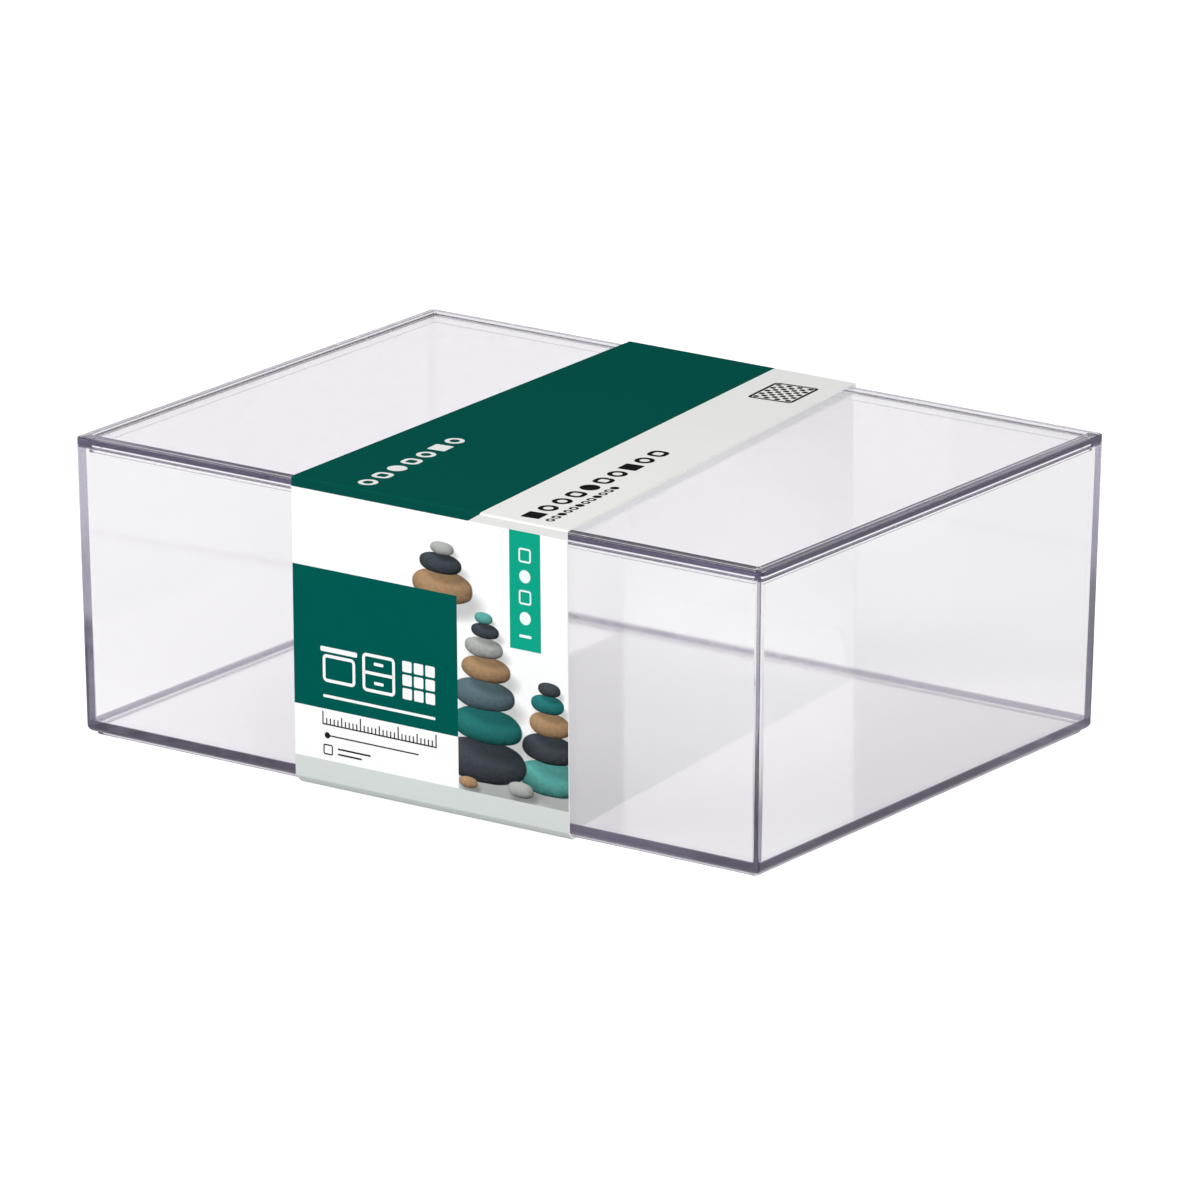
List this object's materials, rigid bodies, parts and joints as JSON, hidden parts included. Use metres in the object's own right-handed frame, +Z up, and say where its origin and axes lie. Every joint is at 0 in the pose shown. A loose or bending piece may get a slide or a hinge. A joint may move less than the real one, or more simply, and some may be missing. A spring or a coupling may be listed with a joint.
{
  "type": "lidded storage box",
  "caption": "Clear rectangular storage box with a flat lift-off lid and a folded card sleeve round both.",
  "frame": {"origin": "middle of the sleeve's base run, on the surface that the object stands on", "axes": "+X along the box's long side, -Y the front with the sleeve's printed panel, +Z up"},
  "size_m": [0.225, 0.1664, 0.0864],
  "materials": {
    "clear_plastic": "gloss",
    "printed_card": "satin"
  },
  "bodies": {
    "box": {"box_body": "clear_plastic"},
    "lid": {"lid": "clear_plastic"},
    "sleeve": {"sleeve": "printed_card"}
  },
  "joints": [
    {"name": "lid_lift", "type": "slide", "parent": "box", "child": "lid", "axis": [0, 0, 1], "range_m": [0, 0.12]},
    {"name": "sleeve_slide", "type": "slide", "parent": "box", "child": "sleeve", "axis": [1, 0, 0], "range_m": [-0.17, 0.17]}
  ]
}
